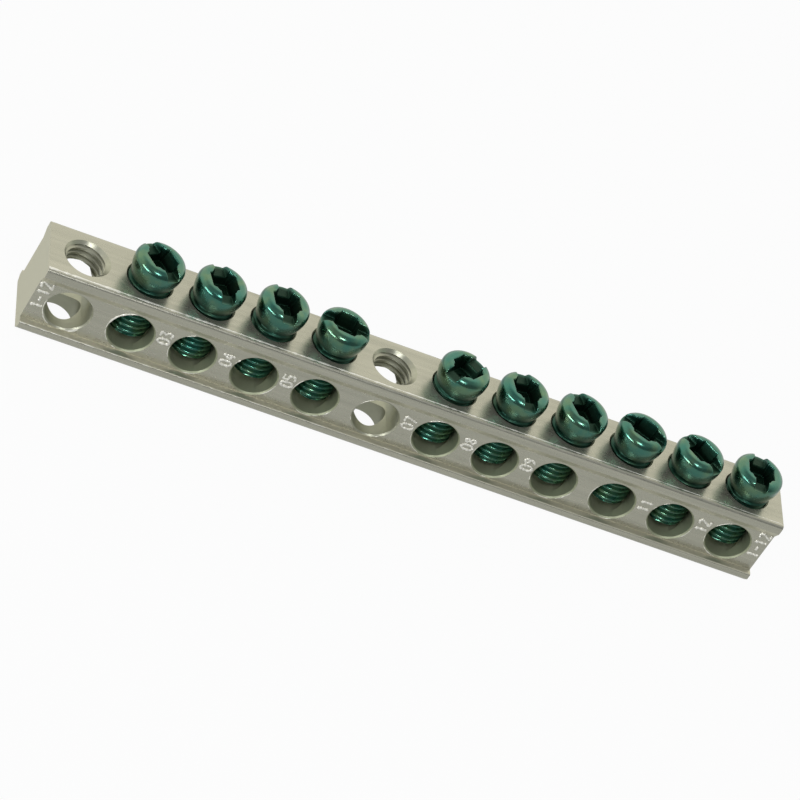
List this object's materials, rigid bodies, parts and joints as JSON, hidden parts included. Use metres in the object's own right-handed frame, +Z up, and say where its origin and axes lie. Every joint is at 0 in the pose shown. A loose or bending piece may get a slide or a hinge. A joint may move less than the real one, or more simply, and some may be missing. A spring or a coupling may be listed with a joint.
{
  "type": "earth terminal bar",
  "caption": "Straight metal terminal bar with a row of cross-drilled wire holes, each with a combination-head clamp screw from the top, and vacant tapped holes for fixing it.",
  "frame": {"origin": "middle of the bar's underside: half way along the bar, below the row of screws", "axes": "+X along the bar away from the end with the vacant hole, -Y out of the wire holes' front mouths, +Z up along the screws"},
  "size_m": [0.1098, 0.0104, 0.0158],
  "materials": {
    "bar_metal": "satin, plated",
    "screw_metal": "glossy green-dyed zinc plating"
  },
  "bodies": {
    "bar": {"terminal_bar": "bar_metal"},
    "screw_01": {"terminal_screw_01": "screw_metal"},
    "screw_02": {"terminal_screw_02": "screw_metal"},
    "screw_03": {"terminal_screw_03": "screw_metal"},
    "screw_04": {"terminal_screw_04": "screw_metal"},
    "screw_05": {"terminal_screw_05": "screw_metal"},
    "screw_06": {"terminal_screw_06": "screw_metal"},
    "screw_07": {"terminal_screw_07": "screw_metal"},
    "screw_08": {"terminal_screw_08": "screw_metal"},
    "screw_09": {"terminal_screw_09": "screw_metal"},
    "screw_10": {"terminal_screw_10": "screw_metal"}
  },
  "joints": [
    {"name": "screw_01_travel", "type": "slide", "parent": "bar", "child": "screw_01", "axis": [0, 0, 1], "range_m": [-0.00085, 0.0051]},
    {"name": "screw_02_travel", "type": "slide", "parent": "bar", "child": "screw_02", "axis": [0, 0, 1], "range_m": [-0.00075, 0.0052]},
    {"name": "screw_03_travel", "type": "slide", "parent": "bar", "child": "screw_03", "axis": [0, 0, 1], "range_m": [-0.0011, 0.00485]},
    {"name": "screw_04_travel", "type": "slide", "parent": "bar", "child": "screw_04", "axis": [0, 0, 1], "range_m": [-0.00088, 0.00507]},
    {"name": "screw_05_travel", "type": "slide", "parent": "bar", "child": "screw_05", "axis": [0, 0, 1], "range_m": [-0.00078, 0.00517]},
    {"name": "screw_06_travel", "type": "slide", "parent": "bar", "child": "screw_06", "axis": [0, 0, 1], "range_m": [-0.00069, 0.00526]},
    {"name": "screw_07_travel", "type": "slide", "parent": "bar", "child": "screw_07", "axis": [0, 0, 1], "range_m": [-0.00075, 0.0052]},
    {"name": "screw_08_travel", "type": "slide", "parent": "bar", "child": "screw_08", "axis": [0, 0, 1], "range_m": [-0.00088, 0.00507]},
    {"name": "screw_09_travel", "type": "slide", "parent": "bar", "child": "screw_09", "axis": [0, 0, 1], "range_m": [-0.00063, 0.00532]},
    {"name": "screw_10_travel", "type": "slide", "parent": "bar", "child": "screw_10", "axis": [0, 0, 1], "range_m": [-0.00091, 0.00504]}
  ]
}
